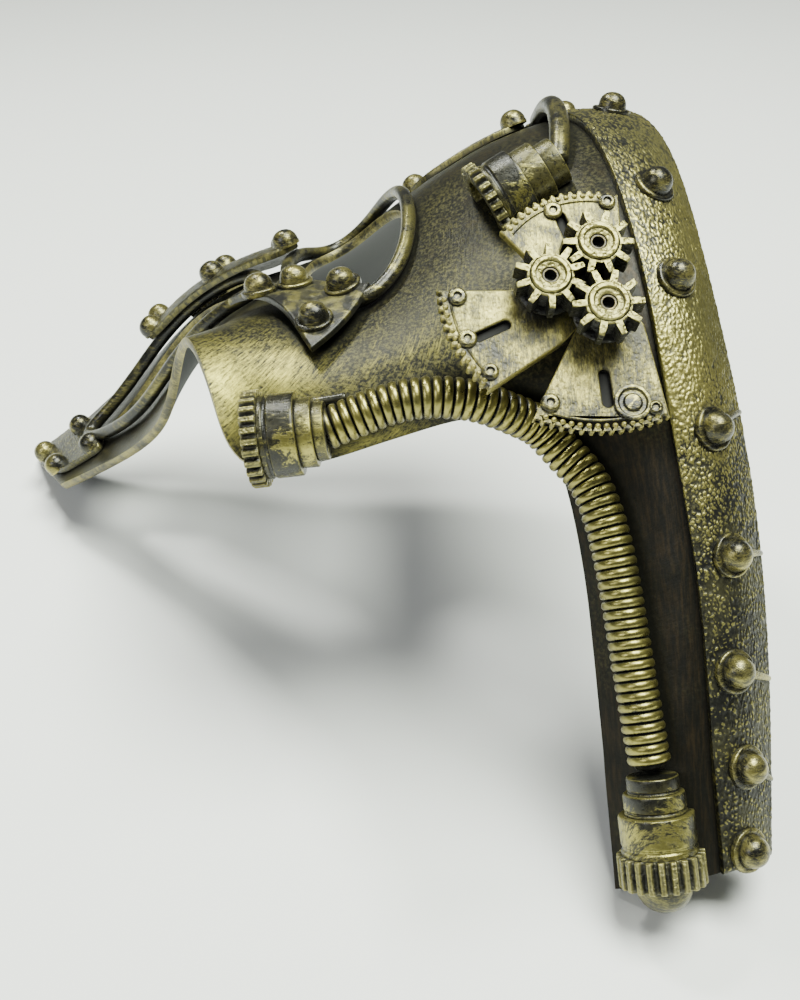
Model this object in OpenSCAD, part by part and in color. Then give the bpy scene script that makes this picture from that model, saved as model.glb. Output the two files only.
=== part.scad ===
// Steampunk half-face mask: a thin moulded shell that runs from one temple over a cut-off nose
// to the other cheek and down to the jaw, dressed with pipes, a corrugated hose, gears and rivets.
// The mask is modelled standing on its jaw end and far temple, as it is set down on a table.

/* [Shell] */
// Thickness of the moulded shell
shell_t = 2.4; // [2:0.2:3]
// Thickness of the grained band along the outer edge
band_t = 1.6; // [1:0.2:2.4]
// Diameter of the pipes round the eye openings
eye_pipe_d = 3.6; // [2.6:0.2:4.6]

/* [Hose] */
// Outer diameter of the corrugated hose
hose_d = 9.2; // [7:0.2:10]
// Number of corrugations along the hose
hose_rings = 58; // [40:1:64]
// Diameter of the smooth pipe over the brow
over_pipe_d = 5; // [4:0.2:6]

/* [Rivets] */
// Diameter of a rivet's dome
rivet_d = 7; // [5:0.5:8]
// Height of a rivet's dome above its washer
rivet_h = 3.9; // [3:0.1:4.5]
// Diameter of the washers under the band's rivets
washer_d = 9.6; // [8:0.2:11]
// Thickness of a washer
washer_t = 1; // [0.6:0.1:1.6]

/* [Gears] */
// Teeth on each pinion
pinion_teeth = 10; // [8:1:12]
// Tip diameter of a pinion
pinion_d = 14.6; // [14:0.2:16]
// Root diameter of a pinion
pinion_root_d = 9.6; // [9:0.2:11]
// Thickness of a pinion's toothed part
pinion_t = 5; // [3:0.5:6]
// Radius of the round edge of the sector plates
sector_r = 31.5; // [29:0.5:33]
// Thickness of a sector plate
sector_t = 2.2; // [1.6:0.2:3]

/* [Nozzles] */
// Diameter of the jaw nozzle's toothed ring
jaw_ring_d = 18.4; // [16:0.2:20]
// Diameter of the nose nozzle's toothed flange
nose_flange_d = 21; // [18:0.5:22]
// Diameter of the temple nozzle's toothed flange
temple_flange_d = 21; // [19:0.2:22]

/* [Hidden] */
$fn = 48;

gold = [0.62, 0.55, 0.28];
dark = [0.3, 0.27, 0.17];

// Control net of the shell's outer face. Each row crosses the mask from its lower edge to its
// upper or outer edge; the rows run from the far temple over the nose and cheek to the jaw.
net = [
    [[-83, 53, 20], [-86, 59, 18], [-90, 67, 14.5], [-95, 75, 12], [-99.5, 84.5, 8.5], [-102, 92, 5]],
    [[-62, 39, 38], [-66, 49, 35], [-70, 59, 32], [-74, 69, 29], [-78, 79, 26], [-81, 87, 23]],
    [[-45, 23, 57], [-49, 36, 52], [-54, 50, 47], [-58, 64, 43], [-62, 77, 41], [-66, 87, 38]],
    [[-38, 13, 74], [-38, 30, 70], [-39, 46, 70], [-41, 62, 69], [-43, 77, 68], [-48, 93, 48]],
    [[-30, 3, 103], [-21, 11, 100], [-15, 21, 97], [-15, 37, 92], [-20, 61, 89], [-26, 87, 58]],
    [[-21, -18, 93], [-10, -8, 98], [0, 9, 100], [3, 31, 97], [0, 57, 96], [-8, 89, 56]],
    [[-16, -34, 77], [-1, -24, 91], [12, -9, 100], [17, 23, 106], [17, 58, 114], [13, 93, 66]],
    [[18, -25, 85], [24, -25, 94], [29, -13, 104], [32, 16, 114], [33, 58, 127], [31, 96, 84]],
    [[37, -20, 89], [42, -22, 94], [45, -14, 109], [48, 13, 122], [50, 58, 134], [51, 97, 104]],
    [[50, -19, 86], [54, -21, 95], [57, -14, 112], [62, 8, 127], [66, 51, 138], [69, 89, 118]],
    [[55, -23, 80], [61, -24, 92], [67, -18, 109], [73, -2, 123], [77, 28, 134], [85, 60, 133]],
    [[58, -27, 71], [66, -28, 84], [74, -27, 98], [80, -19, 107], [83, -9, 114], [86, 1, 117]],
    [[61, -35, 60], [69, -40, 69], [78, -41, 79], [84, -38, 84], [89, -30, 88], [94, -21, 88]],
    [[63, -46, 46], [71, -52, 53], [80, -55, 61], [87, -53, 64], [93, -49, 64], [98, -42, 63]],
    [[65, -64, 26], [73, -69, 33], [81, -72, 39], [87, -71, 40], [93, -68, 39], [99, -63, 36]],
    [[67, -82, 5], [75, -85, 11], [83, -87, 15], [88, -86, 16], [93, -84, 16], [99, -79, 13]]
];
// Puts the origin under the middle of the whole part, with its lowest point at z = 0
centring = [0.87, -0.16, -3.16];

// ---- The surface: a uniform cubic B-spline over the net, straight on past its ends ----
function blend4(t) = [pow(1 - t, 3), 3 * pow(t, 3) - 6 * t * t + 4,
    -3 * pow(t, 3) + 3 * t * t + 3 * t + 1, pow(t, 3)] / 6;
function past(list, i) = let (n = len(list))
    i < 0 ? 2 * list[0] - list[1] : i > n - 1 ? 2 * list[n - 1] - list[n - 2] : list[i];
function along(list, x) = let (i = max(0, min(len(list) - 2, floor(x))), b = blend4(x - i))
    b[0] * past(list, i - 1) + b[1] * list[i] + b[2] * list[i + 1] + b[3] * past(list, i + 2);
function skin(u, v) = let (i = max(0, min(len(net) - 2, floor(u))), b = blend4(u - i))
    centring + b[1] * along(net[i], v) + b[2] * along(net[i + 1], v)
    + b[0] * (i > 0 ? along(net[i - 1], v) : 2 * along(net[0], v) - along(net[1], v))
    + b[3] * (i < len(net) - 2 ? along(net[i + 2], v)
        : 2 * along(net[len(net) - 1], v) - along(net[len(net) - 2], v));
function unit(a) = a / norm(a);
function skin_u(u, v) = unit(skin(u + 0.04, v) - skin(u - 0.04, v));
function skin_v(u, v) = unit(skin(u, v + 0.04) - skin(u, v - 0.04));
function skin_n(u, v) = unit(cross(skin_u(u, v), skin_v(u, v)));
// Point h above the skin
function on(p, h = 0) = skin(p[0], p[1]) + h * skin_n(p[0], p[1]);
function mix(a, b, t) = a + (b - a) * t;

// Puts a child at a point, with its z along n and its x as near to x as it can be
module face_to(p, n, x) {
    z = unit(n);
    y = unit(cross(z, x));
    w = cross(y, z);
    multmatrix([[w[0], y[0], z[0], p[0]], [w[1], y[1], z[1], p[1]], [w[2], y[2], z[2], p[2]], [0, 0, 0, 1]])
        children();
}
// Puts a child on the skin at p = [u, v], h above it
module seat(p, h = 0) {
    face_to(on(p, h), skin_n(p[0], p[1]), skin_u(p[0], p[1])) children();
}

// Closed sheet between heights h0 and h1 over a grid of [u, v] pairs, rows of equal length
module sheet(grid, h0, h1) {
    rows = len(grid);
    cols = len(grid[0]);
    size = rows * cols;
    top = [for (r = grid) for (p = r) on(p, h1)];
    low = [for (r = grid) for (p = r) on(p, h0)];
    function at(i, j) = i * cols + j;
    polyhedron(concat(top, low), concat(
        [for (i = [0 : rows - 2]) for (j = [0 : cols - 2])
            each [[at(i, j), at(i, j + 1), at(i + 1, j + 1)], [at(i, j), at(i + 1, j + 1), at(i + 1, j)]]],
        [for (i = [0 : rows - 2]) for (j = [0 : cols - 2])
            each [[size + at(i, j), size + at(i + 1, j + 1), size + at(i, j + 1)],
                [size + at(i, j), size + at(i + 1, j), size + at(i + 1, j + 1)]]],
        [for (i = [0 : rows - 2]) each [
            [at(i, 0), at(i + 1, 0), size + at(i + 1, 0)], [at(i, 0), size + at(i + 1, 0), size + at(i, 0)],
            [at(i, cols - 1), size + at(i + 1, cols - 1), at(i + 1, cols - 1)],
            [at(i, cols - 1), size + at(i, cols - 1), size + at(i + 1, cols - 1)]]],
        [for (j = [0 : cols - 2]) each [
            [at(0, j), size + at(0, j + 1), at(0, j + 1)], [at(0, j), size + at(0, j), size + at(0, j + 1)],
            [at(rows - 1, j), at(rows - 1, j + 1), size + at(rows - 1, j + 1)],
            [at(rows - 1, j), size + at(rows - 1, j + 1), size + at(rows - 1, j)]]]), convexity = 10);
}

// Round tube through a list of points with a list of radii; ring joins the last point to the first
module tube(pts, radii, sides = 10, ring = false) {
    n = len(pts);
    function dir(i) = unit(ring ? pts[(i + 1) % n] - pts[(i + n - 1) % n]
        : pts[min(n - 1, i + 1)] - pts[max(0, i - 1)]);
    function carry(i, side) = let (d = dir(i), s = unit(side - (side * d) * d))
        i == n - 1 ? [s] : concat([s], carry(i + 1, s));
    sides_of = carry(0, abs(dir(0)[2]) < 0.8 ? [0, 0, 1] : [1, 0, 0]);
    twist = ring ? let (d = dir(0), s = unit(sides_of[n - 1] - (sides_of[n - 1] * d) * d))
        atan2(cross(s, sides_of[0]) * d, s * sides_of[0]) : 0;
    points = [for (i = [0 : n - 1]) for (k = [0 : sides - 1])
        let (a = 360 * k / sides + twist * i / n, s = sides_of[i], t = cross(dir(i), s))
        pts[i] + radii[i] * (cos(a) * s + sin(a) * t)];
    function at(i, k) = (i % n) * sides + k % sides;
    walls = [for (i = [0 : ring ? n - 1 : n - 2]) for (k = [0 : sides - 1])
        each [[at(i, k), at(i + 1, k), at(i + 1, k + 1)], [at(i, k), at(i + 1, k + 1), at(i, k + 1)]]];
    caps = ring ? [] : [[for (k = [0 : sides - 1]) k], [for (k = [sides - 1 : -1 : 0]) (n - 1) * sides + k]];
    polyhedron(points, concat(walls, caps), convexity = 10);
}
function even(n, r) = [for (i = [1 : n]) r];
// Smooth closed curve through n points round a list of control pairs
function loop_at(list, x) = let (n = len(list), i = floor(x), b = blend4(x - i))
    b[0] * list[(i + n - 1) % n] + b[1] * list[i % n] + b[2] * list[(i + 1) % n] + b[3] * list[(i + 2) % n];
function looped(list, n) = [for (k = [0 : n - 1]) loop_at(list, len(list) * k / n)];
function strung(list, n) = [for (k = [0 : n]) along(list, (len(list) - 1) * k / n)];

// ---- Fasteners ----
module dome(d = rivet_d, h = rivet_h) {
    ball = (d * d / 4 + h * h) / (2 * h);
    intersection() {
        translate([0, 0, h - ball]) sphere(ball);
        cylinder(h = h + 1, r = d);
    }
}
module domes(places, h) {
    for (p = places) seat(p, h) dome();
}
module washers(places, h, d = washer_d) {
    for (p = places) seat(p, h) cylinder(h = washer_t, d = d);
}

// ---- Shell ----
shell_rows = 60;
shell_cols = 15;
near_eye = [[6.2, 3.7], [6.45, 3.1], [6.1, 2.6], [5.5, 2.5], [4.9, 2.5], [4.5, 3], [4.8, 3.8], [5.5, 4.1]];
far_eye = [[3.7, 3.3], [3.8, 2.6], [3, 1.9], [2, 1.6], [1.2, 1.9], [1.1, 2.6], [2, 3.2], [3, 3.6]];
// Solid that cuts an eye opening straight through the shell
module eye_cutter(rim) {
    pairs = looped(rim, 28);
    n = len(pairs);
    middle = [for (k = [0, 1]) [for (p = pairs) p[k]] * even(n, 1) / n];
    axis = skin_n(middle[0], middle[1]);
    low = [for (p = pairs) skin(p[0], p[1]) - 12 * axis];
    top = [for (p = pairs) skin(p[0], p[1]) + 12 * axis];
    hub_low = skin(middle[0], middle[1]) - 12 * axis;
    hub_top = skin(middle[0], middle[1]) + 12 * axis;
    polyhedron(concat(low, top, [hub_low, hub_top]), [for (k = [0 : n - 1]) let (m = (k + 1) % n)
        each [[m, k, 2 * n], [n + k, n + m, 2 * n + 1], [n + k, k, n + m], [n + m, k, m]]], convexity = 6);
}
module face_shell() {
    color(dark) difference() {
        sheet([for (i = [0 : shell_rows])
            [for (j = [0 : shell_cols]) [15 * i / shell_rows, 5 * j / shell_cols]]],
            -shell_t, 0);
        eye_cutter(near_eye);
        eye_cutter(far_eye);
    }
}

// ---- Grained band along the outer edge ----
band_gap = 0.2;
band_start = 8.2;
// The band's inner edge: across the mask, for places along it from band_start to the jaw
band_inner = [4.5, 3.9, 3.05, 2.5, 2.3, 2.35, 2.45, 2.55, 2.65, 2.9];
function band_v(u) = along(band_inner, (len(band_inner) - 1) * (u - band_start) / (15 - band_start));
module edge_band() {
    color(gold) sheet([for (i = [0 : 40]) let (u = mix(band_start, 15, i / 40))
        [for (j = [0 : 5]) [u, mix(band_v(u), 5, j / 5)]]], band_gap, band_gap + band_t);
}
band_places = [[8.84, 4.75], [9.44, 4.43], [10.14, 3.75], [10.69, 3.36], [11.82, 3.49], [12.74, 3.51],
    [13.55, 3.38], [14.25, 3.8], [14.87, 3.87]];
module band_washers() { color(gold) washers(band_places, band_gap + band_t); }
module band_rivets() { color(gold) domes(band_places, band_gap + band_t + washer_t); }

// ---- Eye pipes ----
pipe_rise = 2.4;
near_pipe = [[6.12, 4.15], [6.48, 3.4], [6.42, 2.8], [5.97, 2.35], [5.4, 2.2],
    [4.8, 2.3], [4.35, 3], [4.6, 3.9], [5.4, 4.4]];
far_pipe = [[4.1, 3.6], [4.15, 2.6], [3.5, 1.75], [2.4, 1.35], [1.2, 1.5], [0.8, 2.4], [1.4, 3.4], [3, 4]];
module near_eye_pipe() {
    pairs = looped(near_pipe, 40);
    color(gold) tube([for (p = pairs) on(p, pipe_rise)], even(40, eye_pipe_d / 2), 10, true);
}
module far_eye_pipe() {
    pairs = looped(far_pipe, 40);
    color(gold) tube([for (p = pairs) on(p, pipe_rise)], even(40, eye_pipe_d / 2), 8, true);
}

// ---- Nose plate: a kite over the bridge of the nose ----
plate_rise = 4.6;
plate_t = 1.6;
module nose_plate() {
    left = [3.95, 1.75];
    right = [5.9, 2.5];
    apex = [5.55, 1.42];
    color(dark) sheet([for (i = [0 : 8]) let (a = mix(left, right, i / 8), b = mix(left, apex, i / 8))
        [for (j = [0 : 6]) mix(mix(a, [4.6, 2.9], 0.35 * sin(22.5 * i)), b, j / 6) + [0.02 * (i - 4), 0]]],
        plate_rise - 1.6, plate_rise);
}
nose_places = [[4.35, 1.75], [4.72, 2.21], [5.56, 2.4], [5.4, 1.72]];
module nose_rivets() {
    color(gold) union() {
        washers(nose_places, plate_rise, 9);
        domes(nose_places, plate_rise + washer_t - 0.3);
    }
}

// ---- Brow straps and temple plate ----
module strap(from_u, to_u, low, high, h) {
    sheet([for (i = [0 : 12]) let (u = mix(from_u, to_u, i / 12), pinch = 1 - 0.5 * pow(abs(i - 6) / 6, 6))
        [for (j = [0 : 3]) [u, mix((low + high) / 2 + (i - 6) * 0.01, j < 2 ? low : high,
            pinch * (j % 3 == 0 ? 1 : 0.35))]]], h, h + 1.8);
}
near_strap_v = [4.15, 4.85];
module near_brow_strap() { color(dark) strap(6.45, 8.2, near_strap_v[0], near_strap_v[1], 0.4); }
near_strap_places = [[6.6, 4.3], [6.6, 4.75], [8.05, 4.3], [8.05, 4.75]];
module near_brow_rivets() { color(gold) domes(near_strap_places, 2.2); }
far_strap_rise = 5;
module far_brow_strap() { color(dark) strap(2.6, 4.7, 3.3, 4.3, far_strap_rise); }
far_strap_places = [[2.7, 3.6], [3.6, 3.55], [4.55, 3.55], [2.8, 4.1], [3.7, 4.05], [4.5, 4.05]];
module far_brow_rivets() { color(gold) domes(far_strap_places, far_strap_rise + 1.8); }
module temple_plate() { color(dark) strap(0.05, 1.1, 1, 4.4, 0.3); }
temple_places = [[0.2, 1.6], [0.2, 3.4], [0.9, 1.5], [0.9, 3.6]];
module temple_rivets() { color(gold) domes(temple_places, 2.1); }

// ---- Corrugated hose ----
hose_route = [[6.37, 0.59], [6.75, 0.95], [7.2, 1.03], [7.8, 0.9], [8.5, 0.5], [9.3, 0.3],
    [10.3, 0.35], [11.2, 0.75], [12, 0.95], [12.9, 1.05], [13.5, 1.15], [14.05, 1.27]];
hose_rise = hose_d / 2 + 0.3;
module corrugated_hose() {
    steps = 4;
    n = hose_rings * steps;
    color(gold) tube([for (p = strung(hose_route, n)) on(p, hose_rise)],
        [for (i = [0 : n]) hose_d / 2 - (i % steps == 0 ? 1 : i % steps == 2 ? 0 : 0.35)], 10);
}

// ---- Nozzles ----
// Drum from z = 0 upward with its underside cut flat at cut below the axis (towards -y)
module half_drum(d, h, cut, bore = 0) {
    difference() {
        cylinder(h = h, d = d);
        translate([-d, -cut - d, -1]) cube([2 * d, d, h + 2]);
        if (bore > 0) translate([0, 0, -1]) cylinder(h = h + 2, d = bore);
    }
}
module teeth_ring(d, h, count, cut, deep = 1.6) {
    for (i = [0 : count - 1]) let (a = 360 * i / count) if (sin(a) * d / 2 > 0.6 - cut) rotate(a)
        translate([d / 2 - deep, -d * 0.062, 0]) cube([deep, d * 0.124, h]);
}
// Axis of a nozzle: from a place on the skin towards another, with the skin's normal as its y
module along_skin(p, q, h) {
    a = on(p, h);
    b = on(q, h);
    n = skin_n(p[0], p[1]);
    x = cross(n, b - a);
    face_to(a, b - a, x) children();
}
jaw_top = [14.12, 1.29];
jaw_end = [15, 1.32];
module jaw_collar() {
    color(gold) along_skin(jaw_top, jaw_end, hose_rise)
        translate([0, 0, 0.5]) half_drum(11, 3.4, 4.6);
}
module jaw_flange() {
    color(gold) along_skin(jaw_top, jaw_end, hose_rise)
        translate([0, 0, 3.9]) half_drum(13, 4.4, 4.6);
}
module jaw_drum() {
    color(gold) along_skin(jaw_top, jaw_end, hose_rise)
        translate([0, 0, 8.3]) half_drum(16, 8.2, 4.6);
}
module jaw_toothed_ring() {
    color(gold) along_skin(jaw_top, jaw_end, hose_rise) translate([0, 0, 16.5]) union() {
        half_drum(jaw_ring_d - 2.2, 6.6, 4.6);
        teeth_ring(jaw_ring_d, 6.6, 22, 4.2);
    }
}
module jaw_cap() {
    color(gold) along_skin(jaw_top, jaw_end, hose_rise) translate([0, 0, 23.1]) intersection() {
        sphere(6);
        translate([-8, -4.6, 0]) cube([16, 16, 10]);
    }
}
nose_end = [5.72, 0.12];
nose_start = [6.4, 0.58];
nose_rise = 6;
module nose_flange() {
    color(gold) along_skin(nose_start, nose_end, nose_rise) translate([0, 0, 13.5]) difference() {
        union() {
            half_drum(nose_flange_d - 2.4, 3.4, 5.4);
            teeth_ring(nose_flange_d, 3.4, 26, 5, 1.9);
        }
        translate([0, 2.4, -1]) cylinder(h = 6, d = 7);
    }
}
module nose_drums() {
    color(gold) along_skin(nose_start, nose_end, nose_rise) union() {
        half_drum(12.6, 2.4, 5.4);
        translate([0, 0, 2.4]) half_drum(15, 3.4, 5.4);
        translate([0, 0, 5.8]) half_drum(18, 7.7, 5.4);
    }
}
bead_route = [[5.35, 0.35], [5.55, 0.62], [5.9, 0.92], [6.3, 1.1]];
module nose_bead() {
    color(gold) tube([for (p = strung(bead_route, 12)) on(p, 0.9)], even(13, 1.1), 8);
}
temple_start = [8.62, 3.3];
temple_end = [7.45, 3.02];
module temple_flange() {
    color(gold) along_skin(temple_start, temple_end, 2.6) translate([0, 0, 17.5]) difference() {
        union() {
            half_drum(temple_flange_d - 2, 2.6, 2);
            teeth_ring(temple_flange_d, 2.6, 24, 1.6);
        }
        translate([0, 0, -1]) cylinder(h = 5, d = 13.4);
    }
}
module temple_drums() {
    color(gold) along_skin(temple_start, temple_end, 2.6) difference() {
        union() {
            half_drum(12.4, 4.4, 2);
            translate([0, 0, 4.4]) half_drum(15.4, 5.4, 2);
            translate([0, 0, 9.8]) half_drum(17.8, 7.7, 2);
        }
        translate([0, 0, 12]) cylinder(h = 8, d = 13.4);
    }
}
over_route = [[8.6, 3.36], [8.66, 3.6], [8.62, 3.88], [8.52, 4.15], [8.42, 4.45]];
module over_pipe() {
    rise = [1.5, 3.8, 4.4, 3.6, 1.6];
    color(gold) tube([for (k = [0 : 16]) on(along(over_route, k / 4), along(rise, k / 4))],
        even(17, over_pipe_d / 2), 12);
}
far_start = [4.2, 4.55];
far_end = [3.2, 4.6];
module far_nozzle_flange() {
    color(gold) along_skin(far_end, far_start, 5.6) translate([0, 0, 14]) union() {
        half_drum(12, 3, 4);
        teeth_ring(14, 3, 18, 3.6);
    }
}
module far_hose_stub() {
    color(gold) along_skin(far_end, far_start, 5.6) union() {
        for (i = [0 : 5]) translate([0, 0, 2.4 * i]) {
            half_drum(8.6, 1.6, 4);
            translate([0, 0, 1.6]) half_drum(7, i < 5 ? 0.8 : 0.4, 4);
        }
    }
}

// ---- Gear group: three sector plates and three pinions on one slanted plane ----
hub = [9.34, 2.06];
hub_rise = 9.4;
hub_normal = [0.02, -0.62, 0.78];
module gear_plane(x, y, h) {
    face_to(on(hub, hub_rise), hub_normal, [1, 0, 0]) translate([x, y, h]) children();
}
// Round post that carries the three plates off the shell
module gear_hub() { color(dark) gear_plane(0, 0, -10.4) cylinder(h = 10.4, r = 6.4); }
// Sector from the hub, with radial slot and a beaded round edge
module sector(r, from, to, inner, slot_a, slot_r, slot_l = 6) {
    steps = 12;
    n_beads = floor((to - from) * r * PI / 180 / 2.4);
    gear_plane(0, 0, 0) union() {
        linear_extrude(sector_t) difference() {
            polygon(concat([for (k = [0 : steps]) let (a = mix(from, to, k / steps)) r * [cos(a), sin(a)]],
                inner));
            rotate(slot_a) translate([slot_r, 0]) union() {
                translate([-slot_l / 2, -1.1]) square([slot_l, 2.2]);
                for (s = [-1, 1]) translate([s * slot_l / 2, 0]) circle(1.1, $fn = 24);
            }
        }
        for (k = [0 : n_beads]) rotate(mix(from + 1, to - 1, k / n_beads))
            translate([r - 0.6, -0.7, 0.2]) cube([1.4, 1.4, sector_t]);
    }
}
module upper_sector_plate() {
    color(gold) sector(22, 73, 146, [[-12.9, 6.3], [0, -2], [7, 6]],
        110, 14);
}
module left_sector_plate() {
    color(gold) sector(sector_r, 182, 227, [[-6, -12.3], [0, -6], [-5, 0], [-15.8, -0.9]],
        206, 22.9);
}
module lower_sector_plate() {
    color(gold) sector(sector_r, 246, 297, [[10.5, -8.3], [5, -2], [-1, -4], [-5.5, -13.5]],
        275, 22.5);
}
// Screws as [radius, angle, diameter]
screws = [[18.8, 113, 4], [20, 78, 3.6], [27.8, 185.5, 4], [28.4, 205, 4], [28.6, 222, 3.6],
    [27.4, 250, 4], [26.5, 285.5, 7.6], [29, 293.5, 3.2]];
module sector_screws() {
    color(gold) for (s = screws) gear_plane(s[0] * cos(s[1]), s[0] * sin(s[1]), sector_t)
        union() {
            difference() {
                cylinder(h = 0.8, d = s[2]);
                translate([0, 0, 0.5]) rotate(s[1] + 40) cube([s[2] * 0.8, 0.5, 1], center = true);
            }
        }
}
module pinion(x, y, base, turn) {
    half = 360 / pinion_teeth;
    tip = pinion_d / 2;
    root = pinion_root_d / 2;
    gear_plane(x, y, base) difference() {
        union() {
            linear_extrude(pinion_t) polygon([for (i = [0 : pinion_teeth - 1]) let (a = turn + i * half)
                each [root * [cos(a - 0.32 * half), sin(a - 0.32 * half)],
                    root * [cos(a - 0.22 * half), sin(a - 0.22 * half)],
                    tip * [cos(a - 0.12 * half), sin(a - 0.12 * half)],
                    tip * [cos(a + 0.12 * half), sin(a + 0.12 * half)],
                    root * [cos(a + 0.22 * half), sin(a + 0.22 * half)],
                    root * [cos(a + 0.32 * half), sin(a + 0.32 * half)]]]);
            translate([0, 0, -3]) cylinder(h = 4, r = root - 0.4);
            translate([0, 0, -0.7]) cylinder(h = 1, r = 5.7);
            translate([0, 0, pinion_t - 0.4]) difference() {
                cylinder(h = 1.1, r = 3.9);
                translate([0, 0, 0.4]) cylinder(h = 2, r = 3);
            }
        }
        translate([0, 0, -4]) cylinder(h = 12, r = 1.7);
    }
}
pinions = [[0.3, 5.9, 5.6, 1], [-9.6, -1.6, 5.6, 19], [1.3, -8.4, 7.6, 4]];
module upper_pinion() { color(gold) pinion(pinions[0][0], pinions[0][1], pinions[0][2], pinions[0][3]); }
module left_pinion() { color(gold) pinion(pinions[1][0], pinions[1][1], pinions[1][2], pinions[1][3]); }
module lower_pinion() { color(gold) pinion(pinions[2][0], pinions[2][1], pinions[2][2], pinions[2][3]); }
// Hollow pin through a pinion down to the plates
module pinion_pin(p) {
    gear_plane(p[0], p[1], sector_t) difference() {
        cylinder(h = p[2] + pinion_t - sector_t - 0.4, r = 1.65);
        translate([0, 0, 3]) cylinder(h = 20, r = 1.2);
    }
}
module upper_pinion_pin() { color(dark) pinion_pin(pinions[0]); }
module left_pinion_pin() { color(dark) pinion_pin(pinions[1]); }
module lower_pinion_pin() { color(dark) pinion_pin(pinions[2]); }

face_shell();
edge_band();
band_washers();
band_rivets();
near_eye_pipe();
far_eye_pipe();
nose_plate();
nose_rivets();
near_brow_strap();
near_brow_rivets();
far_brow_strap();
far_brow_rivets();
temple_plate();
temple_rivets();
over_pipe();
corrugated_hose();
nose_flange();
nose_drums();
nose_bead();
jaw_collar();
jaw_flange();
jaw_drum();
jaw_toothed_ring();
jaw_cap();
temple_flange();
temple_drums();
far_nozzle_flange();
far_hose_stub();
gear_hub();
upper_sector_plate();
left_sector_plate();
lower_sector_plate();
sector_screws();
upper_pinion();
left_pinion();
lower_pinion();
upper_pinion_pin();
left_pinion_pin();
lower_pinion_pin();
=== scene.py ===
import math
import bpy
import numpy as np
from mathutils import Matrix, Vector, noise
from mathutils.geometry import delaunay_2d_cdt


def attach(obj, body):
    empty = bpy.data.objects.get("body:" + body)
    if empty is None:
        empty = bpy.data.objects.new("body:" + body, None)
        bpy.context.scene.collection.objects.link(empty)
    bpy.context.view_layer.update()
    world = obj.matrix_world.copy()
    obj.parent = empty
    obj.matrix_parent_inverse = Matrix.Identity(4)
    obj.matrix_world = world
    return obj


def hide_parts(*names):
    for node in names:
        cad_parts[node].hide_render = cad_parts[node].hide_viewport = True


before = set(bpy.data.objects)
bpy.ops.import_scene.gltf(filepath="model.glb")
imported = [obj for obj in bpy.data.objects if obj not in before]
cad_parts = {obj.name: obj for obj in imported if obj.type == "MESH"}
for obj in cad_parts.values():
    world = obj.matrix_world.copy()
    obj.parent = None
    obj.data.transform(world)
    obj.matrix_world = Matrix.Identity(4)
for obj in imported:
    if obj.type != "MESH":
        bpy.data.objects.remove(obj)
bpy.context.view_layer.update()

MM = 0.001
# noise_vector is seeded from the clock unless this is set, and the leather grain would change each run
noise.seed_set(1795001748)

# ---------------------------------------------------------------- the surface, in millimetres, as in part.scad
NET = np.array([
    [[-83, 53, 20], [-86, 59, 18], [-90, 67, 14.5], [-95, 75, 12], [-99.5, 84.5, 8.5], [-102, 92, 5]],
    [[-62, 39, 38], [-66, 49, 35], [-70, 59, 32], [-74, 69, 29], [-78, 79, 26], [-81, 87, 23]],
    [[-45, 23, 57], [-49, 36, 52], [-54, 50, 47], [-58, 64, 43], [-62, 77, 41], [-66, 87, 38]],
    [[-38, 13, 74], [-38, 30, 70], [-39, 46, 70], [-41, 62, 69], [-43, 77, 68], [-48, 93, 48]],
    [[-30, 3, 103], [-21, 11, 100], [-15, 21, 97], [-15, 37, 92], [-20, 61, 89], [-26, 87, 58]],
    [[-21, -18, 93], [-10, -8, 98], [0, 9, 100], [3, 31, 97], [0, 57, 96], [-8, 89, 56]],
    [[-16, -34, 77], [-1, -24, 91], [12, -9, 100], [17, 23, 106], [17, 58, 114], [13, 93, 66]],
    [[18, -25, 85], [24, -25, 94], [29, -13, 104], [32, 16, 114], [33, 58, 127], [31, 96, 84]],
    [[37, -20, 89], [42, -22, 94], [45, -14, 109], [48, 13, 122], [50, 58, 134], [51, 97, 104]],
    [[50, -19, 86], [54, -21, 95], [57, -14, 112], [62, 8, 127], [66, 51, 138], [69, 89, 118]],
    [[55, -23, 80], [61, -24, 92], [67, -18, 109], [73, -2, 123], [77, 28, 134], [85, 60, 133]],
    [[58, -27, 71], [66, -28, 84], [74, -27, 98], [80, -19, 107], [83, -9, 114], [86, 1, 117]],
    [[61, -35, 60], [69, -40, 69], [78, -41, 79], [84, -38, 84], [89, -30, 88], [94, -21, 88]],
    [[63, -46, 46], [71, -52, 53], [80, -55, 61], [87, -53, 64], [93, -49, 64], [98, -42, 63]],
    [[65, -64, 26], [73, -69, 33], [81, -72, 39], [87, -71, 40], [93, -68, 39], [99, -63, 36]],
    [[67, -82, 5], [75, -85, 11], [83, -87, 15], [88, -86, 16], [93, -84, 16], [99, -79, 13]],
], float)
CENTRING = np.array([0.87, -0.16, -3.16])
# metres of paint pattern to one step of u and one of v
U_STEP, V_STEP = 0.018, 0.016
PAD = np.concatenate([2 * NET[:1] - NET[1:2], NET, 2 * NET[-1:] - NET[-2:-1]], 0)
PAD = np.concatenate([2 * PAD[:, :1] - PAD[:, 1:2], PAD, 2 * PAD[:, -1:] - PAD[:, -2:-1]], 1)


def blend4(t):
    t = np.asarray(t, float)
    terms = [(1 - t) ** 3, 3 * t ** 3 - 6 * t * t + 4, -3 * t ** 3 + 3 * t * t + 3 * t + 1, t ** 3]
    return np.stack(terms, -1) / 6


def skin(u, v):
    u, v = np.broadcast_arrays(np.asarray(u, float), np.asarray(v, float))
    i = np.clip(np.floor(u).astype(int), 0, 14)
    j = np.clip(np.floor(v).astype(int), 0, 4)
    bu, bv = blend4(u - i), blend4(v - j)
    out = np.zeros(u.shape + (3,))
    for a in range(4):
        for b in range(4):
            out += (bu[..., a] * bv[..., b])[..., None] * PAD[i + a, j + b]
    return out + CENTRING


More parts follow.
